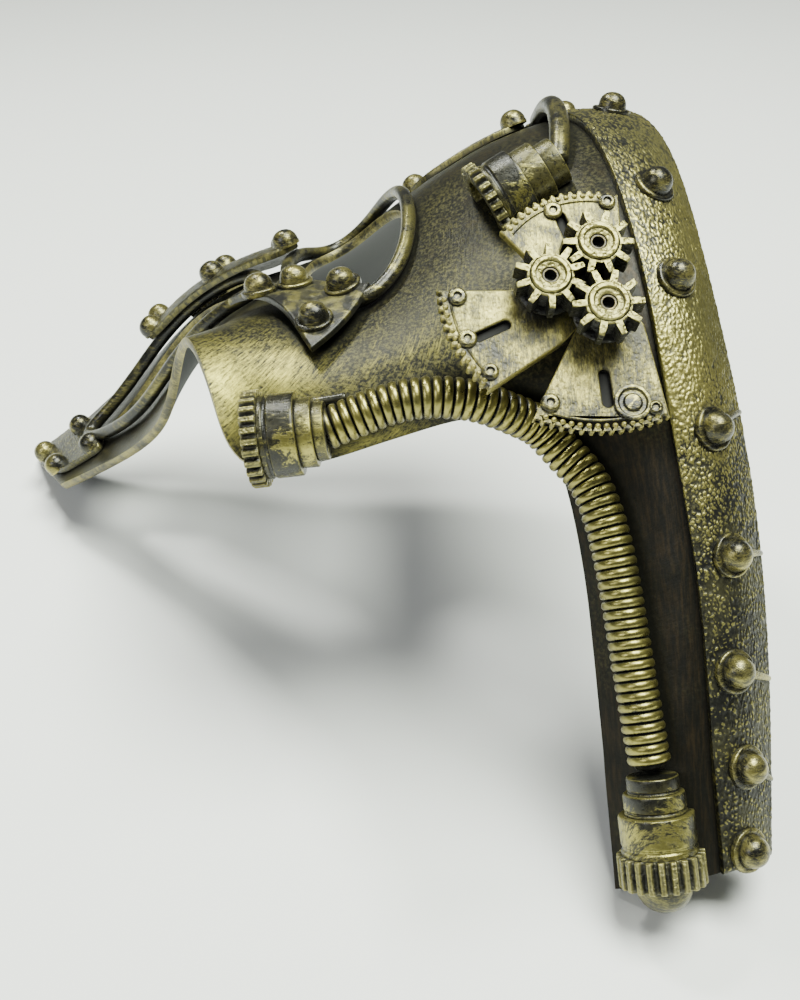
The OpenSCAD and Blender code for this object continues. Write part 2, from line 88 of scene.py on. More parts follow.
def unit(a):
    return a / np.linalg.norm(a, axis=-1, keepdims=True)


def normal(u, v):
    u, v = np.asarray(u, float), np.asarray(v, float)
    su = unit(skin(u + 0.04, v) - skin(u - 0.04, v))
    sv = unit(skin(u, v + 0.04) - skin(u, v - 0.04))
    return unit(np.cross(su, sv))


def on(u, v, h):
    return skin(u, v) + np.asarray(h, float)[..., None] * normal(u, v)


def along(points, x):
    pts = np.asarray(points, float)
    one = pts.ndim == 1
    if one:
        pts = pts[:, None]
    pad = np.concatenate([2 * pts[:1] - pts[1:2], pts, 2 * pts[-1:] - pts[-2:-1]], 0)
    x = np.asarray(x, float)
    i = np.clip(np.floor(x).astype(int), 0, len(pts) - 2)
    b = blend4(x - i)
    out = sum(b[..., k, None] * pad[i + k] for k in range(4))
    return out[..., 0] if one else out


def strung(points, n):
    return along(points, np.linspace(0, len(points) - 1, n + 1))


def looped(points, n):
    pts = np.asarray(points, float)
    x = len(pts) * np.arange(n) / n
    i = np.floor(x).astype(int)
    b = blend4(x - i)
    return sum(b[:, k, None] * pts[(i + k - 1) % len(pts)] for k in range(4))


def axes(origin, z, x):
    z = unit(np.asarray(z, float))
    x = np.asarray(x, float)
    x = unit(x - (x @ z) * z)
    return np.asarray(origin, float), np.array([x, np.cross(z, x), z])


def seat(u, v, h):
    n = normal(u, v)
    return axes(on(u, v, h), n, unit(skin(u + 0.04, v) - skin(u - 0.04, v)))


def lead(p, q, h):
    a, b = on(p[0], p[1], h), on(q[0], q[1], h)
    return axes(a, b - a, np.cross(normal(p[0], p[1]), b - a))


def wobble(points, scale, seed=0.0):
    s = scale
    return np.array([noise.noise(Vector((p[0] * s + seed, p[1] * s, p[2] * s))) for p in np.asarray(points)])


# ---------------------------------------------------------------- mesh building
class Part:
    def __init__(self):
        self.v, self.f, self.m, self.uv, self.tone, self.n = [], [], [], [], [], 0

    def add(self, verts, faces, mat=0, uv=None, tone=None):
        verts = np.asarray(verts, float).reshape(-1, 3)
        self.v.append(verts)
        self.f += [tuple(int(i) + self.n for i in f) for f in faces]
        self.m += [mat] * len(faces) if isinstance(mat, int) else list(mat)
        self.uv.append(np.zeros((len(verts), 2)) if uv is None else np.asarray(uv, float).reshape(-1, 2))
        self.tone.append(np.full(len(verts), 0.5) if tone is None else np.asarray(tone, float).reshape(-1))
        self.n += len(verts)

    def done(self, name, mats, slot, nodes, sharp=40):
        me = bpy.data.meshes.new(name)
        verts = np.concatenate(self.v) * MM
        me.from_pydata(verts.tolist(), [], self.f)
        for m in mats:
            me.materials.append(m)
        me.polygons.foreach_set("material_index", self.m)
        me.polygons.foreach_set("use_smooth", [True] * len(self.f))
        layer = me.uv_layers.new(name="flow")
        loops = np.zeros(len(me.loops), int)
        me.loops.foreach_get("vertex_index", loops)
        layer.data.foreach_set("uv", np.concatenate(self.uv)[loops].ravel())
        att = me.attributes.new("tone", "FLOAT", "POINT")
        att.data.foreach_set("value", np.concatenate(self.tone))
        me.validate()
        me.update()
        me.set_sharp_from_angle(angle=math.radians(sharp))
        obj = bpy.data.objects.new(name, me)
        bpy.context.scene.collection.objects.link(obj)
        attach(obj, "root")
        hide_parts(*nodes)
        return obj


def soft(profile, r=0.3, steps=3):
    """Round each inner corner of an (r, z) profile."""
    pts = [np.array(p, float) for p in profile]
    out = [pts[0]]
    for a, b, c in zip(pts, pts[1:], pts[2:]):
        la, lc = np.linalg.norm(a - b), np.linalg.norm(c - b)
        if la < 1e-6 or lc < 1e-6:
            continue
        k = min(r, la * 0.45, lc * 0.45)
        p, q = b + (a - b) / la * k, b + (c - b) / lc * k
        for t in np.linspace(0, 1, steps + 1):
            out.append((1 - t) ** 2 * p + 2 * t * (1 - t) * b + t * t * q)
    return out + [pts[-1]]


def lathe(part, fr, profile, n=40, cut=None, teeth=None, shift=None, rough=0.0, seed=0.0):
    """Turned solid round fr's z axis.

    teeth = (count, depth, from z, to z, lowest radius); cut flattens its -y side;
    shift = (x, y, largest radius) moves the inner rings off the axis.
    """
    o, m = fr
    th = 2 * np.pi * np.arange(n) / n
    rings, faces = [], []
    for r, z in profile:
        rr = np.full(n, r)
        if teeth:
            count, depth, z0, z1, low = teeth
            if z0 - 1e-6 <= z <= z1 + 1e-6 and r > low:
                ph = (th * count / (2 * np.pi)) % 1.0
                wave = np.clip(1.5 * np.cos(2 * np.pi * ph) + 0.45, -0.5, 0.8)
                wave = (wave + 0.5) / 1.3
                rr = rr - depth * (1 - wave)
        x, y = rr * np.cos(th), rr * np.sin(th)
        if shift is not None and r < shift[2]:
            x, y = x + shift[0], y + shift[1]
        if cut is not None:
            y = np.maximum(y, -cut)
        rings.append(np.stack([x, y, np.full(n, z)], -1))
    k = len(rings)
    pts = np.concatenate(rings)
    pts = o + pts @ m
    if rough:
        d = unit(pts - (o + np.outer((pts - o) @ m[2], m[2])) + 1e-9)
        pts = pts + d * (rough * wobble(pts, 0.35, seed))[:, None]
    for i in range(k - 1):
        for j in range(n):
            j2 = (j + 1) % n
            faces.append((i * n + j, i * n + j2, (i + 1) * n + j2, (i + 1) * n + j))
    lo, hi = len(pts), len(pts) + 1
    pts = np.concatenate([pts, [pts[:n].mean(0)], [pts[-n:].mean(0)]])
    faces += [(lo, (j + 1) % n, j) for j in range(n)]
    b = (k - 1) * n
    faces += [(hi, b + j, b + (j + 1) % n) for j in range(n)]
    uv = np.stack([(pts - o) @ m[0], (pts - o) @ m[2]], -1) * MM
    part.add(pts, faces, 0, uv)


def carry(pts, closed=False):
    n = len(pts)
    nxt = np.roll(pts, -1, 0) if closed else np.concatenate([pts[1:], pts[-1:]])
    prv = np.roll(pts, 1, 0) if closed else np.concatenate([pts[:1], pts[:-1]])
    d = unit(nxt - prv)
    s = np.array([0, 0, 1.0]) if abs(d[0][2]) < 0.8 else np.array([1.0, 0, 0])
    sides = []
    for i in range(n):
        s = unit(s - (s @ d[i]) * d[i])
        sides.append(s)
    turn = 0.0
    if closed:
        s = unit(sides[-1] - (sides[-1] @ d[0]) * d[0])
        turn = math.atan2(np.cross(s, sides[0]) @ d[0], s @ sides[0])
    return d, np.array(sides), turn


def tube(part, pts, radii, sides=20, closed=False, tone=None):
    """Round tube; an open one gets rounded ends."""
    pts = np.asarray(pts, float)
    radii = np.asarray(radii, float) * np.ones(len(pts))
    if not closed:
        for end in (0, -1):
            a = pts[end]
            d = unit(a - pts[1 if end == 0 else -2])
            r = radii[end]
            ang = np.radians([18, 40, 62, 82])
            extra = np.array([a + d * r * 0.45 * math.sin(q) for q in ang])
            er = np.array([max(r * math.cos(q), 0.02) for q in ang])
            if end == 0:
                pts, radii = np.concatenate([extra[::-1], pts]), np.concatenate([er[::-1], radii])
            else:
                pts, radii = np.concatenate([pts, extra]), np.concatenate([radii, er])
    n = len(pts)
    d, side, turn = carry(pts, closed)
    a = 2 * np.pi * np.arange(sides) / sides
    out = []
    for i in range(n):
        t = np.cross(d[i], side[i])
        ai = a + turn * i / n
        out.append(pts[i] + radii[i] * (np.outer(np.cos(ai), side[i]) + np.outer(np.sin(ai), t)))
    verts = np.concatenate(out)
    faces = []
    for i in range(n if closed else n - 1):
        i2 = (i + 1) % n
        for k in range(sides):
            k2 = (k + 1) % sides
            faces.append((i * sides + k, i2 * sides + k, i2 * sides + k2, i * sides + k2))
    if not closed:
        faces.append(tuple(range(sides)))
        faces.append(tuple((n - 1) * sides + k for k in reversed(range(sides))))
    step = np.concatenate([[0], np.cumsum(np.linalg.norm(np.diff(pts, axis=0), axis=1))])
    uv = np.stack([np.repeat(step, sides), np.tile(np.sin(a) * radii.mean(), n)], -1) * MM
    if tone is not None:
        more = n - len(tone)
        tone = np.concatenate([np.full(more // 2, tone[0]), tone, np.full(more - more // 2, tone[-1])])
        tone = np.repeat(tone, sides)
    part.add(verts, faces, 0, uv, tone)


def spaced(length, r, n):
    k = min(r / max(length, 1e-6), 0.3)
    edge = np.array([0, 0.08, 0.25, 0.5, 0.75]) * k
    return np.concatenate([edge, np.linspace(k, 1 - k, n), 1 - edge[::-1]])


def slab(part, place, ls, lt, ns, nt, h0, h1, r=0.5, relief=None, shade=None):
    """Sheet over the surface with rounded top edges.

    place(s, t) gives (u, v); ls and lt are its rough size; relief(points) raises the top;
    shade(s, t) is added to the paint tone as painted light and shade.
    """
    s, t = np.meshgrid(spaced(ls, r, ns), spaced(lt, r, nt), indexing="ij")
    u, v = place(s, t)
    d = np.minimum(np.minimum(s * ls, (1 - s) * ls), np.minimum(t * lt, (1 - t) * lt))
    q = np.clip((r - d) / r, 0, 1)
    fall = r * (1 - np.sqrt(np.clip(1 - q * q, 0, 1)))
    top = on(u, v, h1 - fall)
    tone = np.full(u.shape, 0.5)
    if relief is not None:
        gain = np.clip(d / (r * 1.2), 0.25, 1)
        lift = relief(top.reshape(-1, 3)).reshape(u.shape)
        top = top + normal(u, v) * (lift * gain)[..., None]
        spread = lift - lift.mean()
        tone = np.clip(0.5 + 0.5 * spread / (2.2 * spread.std() + 1e-9), 0, 1)
    if shade is not None:
        tone = np.clip(tone + shade(s, t), 0, 1)
    base = on(u, v, np.full(u.shape, h0))
    a, b = u.shape
    idx = np.arange(a * b).reshape(a, b)
    off = a * b
    faces = []
    for i in range(a - 1):
        for j in range(b - 1):
            faces.append((idx[i, j], idx[i + 1, j], idx[i + 1, j + 1], idx[i, j + 1]))
    for i in range(a - 1):
        for j in range(b - 1):
            faces.append((off + idx[i, j], off + idx[i, j + 1], off + idx[i + 1, j + 1], off + idx[i + 1, j]))
    rim = list(idx[:, 0]) + list(idx[-1, 1:]) + list(idx[-2::-1, -1]) + list(idx[0, -2:0:-1])
    for p, q2 in zip(rim, rim[1:] + rim[:1]):
        faces.append((q2, p, off + p, off + q2))
    uv = np.stack([u * U_STEP, v * V_STEP], -1).reshape(-1, 2)
    part.add(np.concatenate([top.reshape(-1, 3), base.reshape(-1, 3)]), faces, 0, np.concatenate([uv, uv]),
             np.concatenate([tone.ravel(), np.full(a * b, 0.2)]))


# ---------------------------------------------------------------- materials
class Nodes:
    def __init__(self, name):
        self.mat = bpy.data.materials.new(name)
        self.mat.use_nodes = True
        self.t = self.mat.node_tree
        self.t.nodes.clear()
        self.out = self.t.nodes.new("ShaderNodeOutputMaterial")
        self.p = self.t.nodes.new("ShaderNodeBsdfPrincipled")
        self.t.links.new(self.p.outputs[0], self.out.inputs[0])

    def new(self, kind, **kw):
        n = self.t.nodes.new(kind)
        for k, v in kw.items():
            setattr(n, k, v)
        return n

    def put(self, sock, val):
        if hasattr(val, "is_output"):
            self.t.links.new(val, sock)
        else:
            sock.default_value = val

    def object(self):
        return self.new("ShaderNodeTexCoord").outputs["Object"]

    def flow(self):
        return self.new("ShaderNodeUVMap", uv_map="flow").outputs[0]

    def stretch(self, vec, scale, rot=(0, 0, 0)):
        n = self.new("ShaderNodeMapping")
        self.put(n.inputs["Vector"], vec)
        n.inputs["Scale"].default_value = scale
        n.inputs["Rotation"].default_value = rot
        return n.outputs[0]

    def noise(self, vec, scale, detail=3.0, rough=0.55, distort=0.0):
        n = self.new("ShaderNodeTexNoise")
        self.put(n.inputs["Vector"], vec)
        n.inputs["Scale"].default_value = scale
        n.inputs["Detail"].default_value = detail
        n.inputs["Roughness"].default_value = rough
        n.inputs["Distortion"].default_value = distort
        return n.outputs[0]

    def cells(self, vec, scale, feature="F1"):
        n = self.new("ShaderNodeTexVoronoi", feature=feature)
        self.put(n.inputs["Vector"], vec)
        n.inputs["Scale"].default_value = scale
        return n.outputs["Distance"]

    def ramp(self, fac, a, b):
        n = self.new("ShaderNodeMapRange", interpolation_type="SMOOTHSTEP")
        self.put(n.inputs["Value"], fac)
        n.inputs["From Min"].default_value = a
        n.inputs["From Max"].default_value = b
        return n.outputs[0]

    def span(self, fac, a, b):
        n = self.new("ShaderNodeMapRange")
        self.put(n.inputs["Value"], fac)
        n.inputs["To Min"].default_value = a
        n.inputs["To Max"].default_value = b
        return n.outputs[0]

    def calc(self, op, a, b=0.0):
        n = self.new("ShaderNodeMath", operation=op)
        self.put(n.inputs[0], a)
        self.put(n.inputs[1], b)
        return n.outputs[0]

    def mix(self, fac, a, b):
        n = self.new("ShaderNodeMix", data_type="RGBA")
        self.put(n.inputs[0], fac)
        for sock, val in ((n.inputs[6], a), (n.inputs[7], b)):
            self.put(sock, val if hasattr(val, "is_output") else tuple(val) + (1.0,))
        return n.outputs[2]

    def hollow(self, dist, samples=8):
        n = self.new("ShaderNodeAmbientOcclusion", samples=samples)
        n.inputs["Distance"].default_value = dist
        return n.outputs["AO"]

    def crest(self):
        return self.new("ShaderNodeNewGeometry").outputs["Pointiness"]

    def read(self, name):
        return self.new("ShaderNodeAttribute", attribute_name=name).outputs["Fac"]

    def bump(self, height, strength, dist, before=None):
        n = self.new("ShaderNodeBump")
        n.inputs["Strength"].default_value = strength
        n.inputs["Distance"].default_value = dist
        self.put(n.inputs["Height"], height)
        if before is not None:
            self.put(n.inputs["Normal"], before)
        return n.outputs[0]


GOLD = (0.54, 0.46, 0.12)
OLIVE = (0.070, 0.065, 0.026)
BROWN = (0.026, 0.019, 0.010)
BLACK = (0.009, 0.009, 0.007)


def antique(name, light=GOLD, mid=OLIVE, dark=BLACK, cover=0.5, streak=(1, 1, 6), rot=(0.4, 0.7, 0.2),
            hollow=0.003, wear=(0.51, 0.56), rough=0.3, fine=0.3, patch=0.5, relief=0.0, pits=0.0,
            edge=0.09, broad=0.3):
    """Gold paint dragged over black: broken streaks, patches, rubbed crests, and dark hollows that are partly
    bare black and partly painted shade.
    """
    g = Nodes(name)
    obj = g.object()
    line = g.stretch(obj, streak, rot)
    drag = g.noise(line, 330.0, 6.0, 0.7)
    hair = g.noise(line, 1500.0, 3.0, 0.6)
    blot = g.noise(obj, 95.0, 4.0, 0.6, 0.4)
    wide = g.noise(obj, 28.0, 2.0, 0.5)
    speck = g.noise(obj, 1300.0, 3.0, 0.65)
    total = g.calc("ADD", g.calc("MULTIPLY", drag, 0.55), g.calc("MULTIPLY", hair, 0.30))
    total = g.calc("ADD", total, g.calc("MULTIPLY", blot, patch))
    total = g.calc("ADD", total, g.calc("MULTIPLY", wide, broad))
    tone = g.calc("SUBTRACT", g.read("tone"), 0.5)
    total = g.calc("ADD", total, g.calc("MULTIPLY", tone, relief))
    lo = 0.5 * (0.55 + 0.30 + patch + broad) + 0.22 * (0.5 - cover) - edge / 2
    paint = g.ramp(total, lo, lo + edge)
    # painted shade: occlusion darkens hollows and the spots under and between parts, and takes paint and metal
    # away there
    hollow_shade = g.ramp(g.hollow(hollow), 0.38, 0.90)
    rub = g.ramp(g.crest(), wear[0], wear[1])
    grime = g.calc("ADD", blot, g.calc("MULTIPLY", g.calc("SUBTRACT", speck, 0.5), 0.5))
    body = g.mix(g.ramp(grime, 0.38, 0.66), dark, mid)
    cover_fac = g.calc("MULTIPLY", paint, g.span(hollow_shade, 0.08, 0.97))
    gold = g.mix(g.ramp(wide, 0.35, 0.65), light, tuple(x * y for x, y in zip(light, (0.72, 0.74, 0.85))))
    gold = g.mix(g.calc("MULTIPLY", g.ramp(speck, 0.5, 0.66), 0.55), gold, tuple(x * 0.45 for x in light))
    color = g.mix(cover_fac, body, gold)
    rub = g.calc("MULTIPLY", rub, g.ramp(speck, 0.3, 0.5))
    rub = g.calc("MULTIPLY", rub, g.ramp(g.read("tone"), 0.1, 0.45))
    color = g.mix(g.calc("MULTIPLY", rub, 0.8), color, light)
    # painted shade: hollows and covered spots mixed towards black
    color = g.mix(g.calc("SUBTRACT", 1.0, hollow_shade), color, dark)
    g.put(g.p.inputs["Base Color"], color)
    metal = g.calc("MAXIMUM", cover_fac, g.calc("MULTIPLY", rub, 0.8))
    g.put(g.p.inputs["Metallic"], g.calc("MULTIPLY", g.span(metal, 0.45, 0.95), g.span(hollow_shade, 0.3, 1.0)))
    r = g.calc("ADD", g.span(drag, rough - 0.10, rough + 0.16),
               g.calc("MULTIPLY", g.ramp(speck, 0.45, 0.7), 0.12))
    g.put(g.p.inputs["Roughness"], r)
    h = g.calc("ADD", g.calc("MULTIPLY", drag, 0.6), g.calc("MULTIPLY", speck, 0.4))
    nrm = g.bump(h, fine, 0.0004)
    nrm = g.bump(paint, 0.25, 0.00008, nrm)
    if pits:
        nrm = g.bump(g.ramp(g.cells(obj, 1100.0, "SMOOTH_F1"), 0.05, 0.5), pits, 0.0004, nrm)
    g.put(g.p.inputs["Normal"], nrm)
    g.p.inputs["Specular IOR Level"].default_value = 0.6
    return g.mat


def shell_paint():
    """Outer face: gold brushed over olive and black, brown-black where the tone is lowest, and painted shade
    near and under the parts on it.
    """
    g = Nodes("shell_paint")
    obj, flow = g.object(), g.flow()
    tone = g.read("tone")
    cross = g.stretch(flow, (1.3, 10.0, 1.0), (0, 0, 0.75))
    back = g.stretch(flow, (9.0, 1.4, 1.0), (0, 0, 0.35))
    run = g.stretch(flow, (1.0, 3.0, 1.0), (0, 0, 0.10))
    drag = g.noise(cross, 260.0, 6.0, 0.72, 0.2)
    drag2 = g.noise(back, 230.0, 6.0, 0.72, 0.2)
    wall = g.noise(run, 210.0, 6.0, 0.7)
    blot = g.noise(obj, 42.0, 4.0, 0.6, 0.6)
    speck = g.noise(obj, 1300.0, 3.0, 0.65)
    pick = g.ramp(g.noise(obj, 24.0, 2.0, 0.5), 0.42, 0.58)
    lines = g.new("ShaderNodeMix", data_type="FLOAT")
    g.put(lines.inputs[0], pick)
    g.put(lines.inputs[2], drag)
    g.put(lines.inputs[3], drag2)
    drag = lines.outputs[0]
    s = g.calc("ADD", g.calc("MULTIPLY", drag, 0.62), g.calc("MULTIPLY", speck, 0.22))
    s = g.calc("ADD", s, g.calc("MULTIPLY", blot, 0.42))
    s = g.calc("ADD", s, g.calc("MULTIPLY", g.calc("SUBTRACT", tone, 0.5), 0.30))
    paint = g.ramp(s, 0.63, 0.86)
    # painted shade: occlusion out to 8 mm blackens the shell under and beside the gears, hose, nozzles and
    # plates
    hollow_shade = g.ramp(g.hollow(0.008), 0.30, 0.92)
    body = g.mix(g.ramp(wall, 0.40, 0.68), BLACK, BROWN)
    olive = g.ramp(g.calc("ADD", g.calc("MULTIPLY", blot, 0.5), g.calc("MULTIPLY", tone, 0.6)), 0.26, 0.52)
    body = g.mix(olive, body, g.mix(g.ramp(speck, 0.40, 0.70), BLACK, OLIVE))
    gold = g.mix(tone, (0.17, 0.145, 0.04), (0.34, 0.31, 0.065))
    gold = g.mix(g.calc("MULTIPLY", g.ramp(speck, 0.5, 0.64), 0.6), gold, tuple(x * 0.8 for x in OLIVE))
    fac = g.calc("MULTIPLY", paint, g.span(hollow_shade, 0.05, 0.92))
    color = g.mix(fac, body, gold)
    color = g.mix(g.calc("MULTIPLY", g.calc("SUBTRACT", 1.0, hollow_shade), 0.95), color, BLACK)
    g.put(g.p.inputs["Base Color"], color)
    g.put(g.p.inputs["Metallic"], g.calc("MULTIPLY", g.span(fac, 0.5, 0.95), g.span(hollow_shade, 0.3, 1.0)))
    rough = g.calc("ADD", g.span(drag, 0.28, 0.48), g.calc("MULTIPLY", g.ramp(speck, 0.45, 0.7), 0.12))
    g.put(g.p.inputs["Roughness"], g.calc("SUBTRACT", rough, g.calc("MULTIPLY", fac, 0.12)))
    h = g.calc("ADD", g.calc("MULTIPLY", drag, 0.65), g.calc("MULTIPLY", speck, 0.35))
    nrm = g.bump(h, 0.25, 0.0004)
    nrm = g.bump(blot, 0.2, 0.0016, nrm)
    g.put(g.p.inputs["Normal"], nrm)
    g.p.inputs["Specular IOR Level"].default_value = 0.22
    return g.mat


def bare_plastic(name, color, rough):
    """Moulded dark grey with faint flow marks and scuffs: the unpainted inner face, and the painted shadow
    under the gear slots.
    """
    g = Nodes(name)
    obj = g.object()
    cloud = g.noise(obj, 45.0, 4.0, 0.6)
    fine = g.noise(obj, 1400.0, 2.0, 0.6)
    scuff = g.ramp(g.noise(g.stretch(obj, (1, 6, 1), (0.3, 0.2, 0.9)), 160.0, 4.0, 0.65), 0.6, 0.72)
    c = g.mix(g.ramp(cloud, 0.3, 0.7), tuple(x * 0.75 for x in color), tuple(x * 1.25 for x in color))
    c = g.mix(g.calc("MULTIPLY", scuff, 0.35), c, tuple(min(1, x * 2.2) for x in color))
    g.put(g.p.inputs["Base Color"], c)
    g.put(g.p.inputs["Roughness"], g.span(cloud, rough - 0.08, rough + 0.1))
    g.put(g.p.inputs["Normal"], g.bump(fine, 0.2, 0.0002))
    g.p.inputs["Specular IOR Level"].default_value = 0.32
    return g.mat


M_SHELL = shell_paint()
# near-black backing under the gear-plate slots: painted shadow
M_SLOT_SHADOW = bare_plastic("slot_painted_shadow", (0.006, 0.006, 0.005), 0.7)
M_INNER = bare_plastic("inner_grey", (0.012, 0.0135, 0.0135), 0.66)
M_LIP = antique("lip_gold", light=(0.34, 0.30, 0.10), mid=(0.05, 0.047, 0.028), cover=0.34,
                streak=(1, 3, 1), hollow=0.002, rough=0.36, fine=0.3, edge=0.25)
M_BAND = antique("band_gold", light=(0.36, 0.325, 0.10), mid=(0.038, 0.036, 0.016), cover=0.06,
                 streak=(1, 1, 1), hollow=0.0014, wear=(0.52, 0.60), rough=0.32, fine=0.4, patch=0.08,
                 relief=1.3, edge=0.5, broad=0.12)
M_STRAP = antique("strap_gold", light=(0.22, 0.20, 0.07), mid=(0.035, 0.033, 0.017), cover=0.18,
                  streak=(1, 3, 1), hollow=0.0025, wear=(0.5, 0.56), rough=0.34, fine=0.35, patch=0.4,
                  relief=0.5, edge=0.25)
M_PIPE = antique("pipe_gold", light=(0.30, 0.268, 0.08), mid=(0.035, 0.033, 0.016), cover=0.2,
                 streak=(1, 1, 4), hollow=0.004, wear=(0.53, 0.62), rough=0.27, fine=0.22, edge=0.22)
M_HOSE = antique("hose_gold", light=(0.32, 0.285, 0.08), mid=(0.018, 0.017, 0.01), cover=0.08,
                 streak=(1, 1, 2), hollow=0.0030, wear=(0.52, 0.60), rough=0.26, fine=0.3, relief=0.9,
                 edge=0.22)
M_NOZZLE = antique("nozzle_gold", light=(0.36, 0.325, 0.09), mid=(0.024, 0.023, 0.013), cover=0.20,
                   streak=(1, 5, 1), hollow=0.0035, wear=(0.51, 0.57), rough=0.25, fine=0.35, patch=0.7)
M_GEAR = antique("gear_gold", light=(0.34, 0.31, 0.11), mid=(0.028, 0.027, 0.014), cover=0.2,
                 streak=(2, 1, 5), hollow=0.0032, wear=(0.51, 0.57), rough=0.34, fine=0.6, relief=0.8,
                 pits=0.5, edge=0.28)
M_PLATE = antique("plate_gold", light=(0.42, 0.37, 0.11), mid=(0.06, 0.055, 0.024), cover=0.36,
                  streak=(5, 1, 1), rot=(0.1, 0.2, 0.5), hollow=0.0035, wear=(0.51, 0.57), rough=0.33,
                  fine=0.4, pits=0.16, edge=0.24)
M_RIVET = antique("rivet_gold", light=(0.38, 0.335, 0.10), mid=(0.05, 0.046, 0.02), cover=0.36,
                  streak=(1, 1, 3), hollow=0.0026, wear=(0.54, 0.64), rough=0.24, fine=0.25, edge=0.2)
M_DARK = antique("dark_bronze", light=(0.26, 0.21, 0.09), mid=(0.035, 0.03, 0.016), cover=0.35,
                 hollow=0.003, rough=0.36, fine=0.3)


# ---------------------------------------------------------------- shell with its eye holes
NEAR_EYE = [[6.2, 3.7], [6.45, 3.1], [6.1, 2.6], [5.5, 2.5], [4.9, 2.5], [4.5, 3], [4.8, 3.8], [5.5, 4.1]]
FAR_EYE = [[3.7, 3.3], [3.8, 2.6], [3, 1.9], [2, 1.6], [1.2, 1.9], [1.1, 2.6], [2, 3.2], [3, 3.6]]
SHELL_T = 2.4


def inside(poly, p):
    x, y = p[:, 0][:, None], p[:, 1][:, None]
    a, b = poly, np.roll(poly, -1, 0)
    hit = (a[:, 1] > y) != (b[:, 1] > y)
    cross = (b[:, 0] - a[:, 0]) * (y - a[:, 1]) / (b[:, 1] - a[:, 1] + 1e-12) + a[:, 0]
    return (np.sum(hit & (x < cross), 1) % 2) == 1


def shell():
    nu, nv = 165, 54
    us, vs = np.linspace(0, 15, nu), np.linspace(0, 5, nv)
    loops = [looped(h, 72) for h in (NEAR_EYE, FAR_EYE)]
    grid = np.array([(u, v) for u in us[1:-1] for v in vs[1:-1]])
    keep = np.ones(len(grid), bool)
    for lp in loops:
        keep &= ~inside(lp, grid)
        keep &= np.min(np.linalg.norm(grid[:, None] - lp[None], axis=2), 1) > 0.05
    rim = [(u, 0) for u in us] + [(15, v) for v in vs[1:]]
    rim += [(u, 5) for u in us[-2::-1]] + [(0, v) for v in vs[-2:0:-1]]
    rim = np.array(rim, float)
    pts = np.concatenate([rim] + loops + [grid[keep]])
    counts = [len(rim)] + [len(lp) for lp in loops]
    edges, start = [], 0
    for c in counts:
        ring = list(range(start, start + c))
        edges += list(zip(ring, ring[1:] + ring[:1]))
        start += c
    res = delaunay_2d_cdt([Vector(p) for p in pts], edges, [], 0, 1e-6)
    co = np.array([tuple(p) for p in res[0]])
    tri = np.array([f for f in res[2] if len(f) == 3])
    mid = co[tri].mean(1)
    tri = tri[~inside(loops[0], mid) & ~inside(loops[1], mid)]
    area = np.cross(co[tri[:, 1]] - co[tri[:, 0]], co[tri[:, 2]] - co[tri[:, 0]])
    tri = tri[np.abs(area) > 1e-9]
    area = np.cross(co[tri[:, 1]] - co[tri[:, 0]], co[tri[:, 2]] - co[tri[:, 0]])
    tri[area < 0] = tri[area < 0][:, ::-1]
    u, v = co[:, 0], co[:, 1]
    n = normal(u, v)
    base = skin(u, v)
    outer = base + n * (0.16 * wobble(base, 0.09))[:, None]
    inner = base - n * SHELL_T
    m = len(co)
    faces = [tuple(t) for t in tri] + [tuple(m + t[::-1]) for t in tri]
    mats = [0] * len(tri) + [1] * len(tri)
    verts = [outer, inner]
    k = 2 * m
    used = {}
    for a, b, c in tri:
        for p, q in ((a, b), (b, c), (c, a)):
            used[(p, q)] = True
    open_edges = [(p, q) for p, q in used if (q, p) not in used]
    nxt = {p: q for p, q in open_edges}
    prv = {q: p for p, q in open_edges}
    ids = sorted(nxt)
    place = {p: i for i, p in enumerate(ids)}
    steps = [0.12, 0.35, 0.65, 0.88]
    out_dir = np.array([unit(np.cross(base[nxt[p]] - base[prv[p]], n[p])) for p in ids])
    for s in steps:
        verts.append(base[ids] - n[ids] * (SHELL_T * s) + out_dir * (0.30 * math.sin(math.pi * s)))
    between = [[k + i * len(ids) + place[p] for p in ids] for i in range(len(steps))]
    lv = [ids] + between + [[m + p for p in ids]]
    for a, b in zip(lv, lv[1:]):
        for p in ids:
            q = nxt[p]
            faces.append((a[place[q]], a[place[p]], b[place[p]], b[place[q]]))
            mats.append(2)
    uv = np.stack([u * U_STEP, v * V_STEP], -1)
    # gold on the nose and the cheek beside it, olive on the brow, brown-black along the jaw wall
    tone = 0.30 + 0.60 * np.exp(-((u - 5.2) / 1.5) ** 2 - ((v - 0.9) / 0.9) ** 2)
    tone = tone + 0.36 * np.exp(-((u - 7.1) / 0.8) ** 2 - ((v - 1.9) / 0.6) ** 2)
    tone = tone + 0.25 * np.exp(-((u - 8.3) / 0.7) ** 2 - ((v - 2.2) / 0.8) ** 2)
    tone = tone - 0.45 * np.clip((u - 8.2) / 1.6, 0, 1) * np.clip((3.6 - v) / 1.2, 0, 1)
    tone = tone + 0.28 * np.exp(-((v - 0.2) / 0.35) ** 2)
    tone = np.clip(tone, 0, 1)
    p = Part()
    p.add(np.concatenate(verts), faces, mats, np.concatenate([uv, uv] + [uv[ids]] * len(steps)),
          np.concatenate([tone, tone] + [tone[ids]] * len(steps)))
    p.done("mask_shell", [M_SHELL, M_INNER, M_LIP], "shell", ["face_shell"], 60)


shell()

# ---------------------------------------------------------------- grained band with washers and rivets
BAND_INNER = [4.5, 3.9, 3.05, 2.5, 2.3, 2.35, 2.45, 2.55, 2.65, 2.9]
BAND_START = 8.2
BAND_TOP = 1.8


def band_place(s, t):
    u = BAND_START + 6.8 * s
    lo = along(BAND_INNER, 9 * s)
    return u, lo + (5 - lo) * t


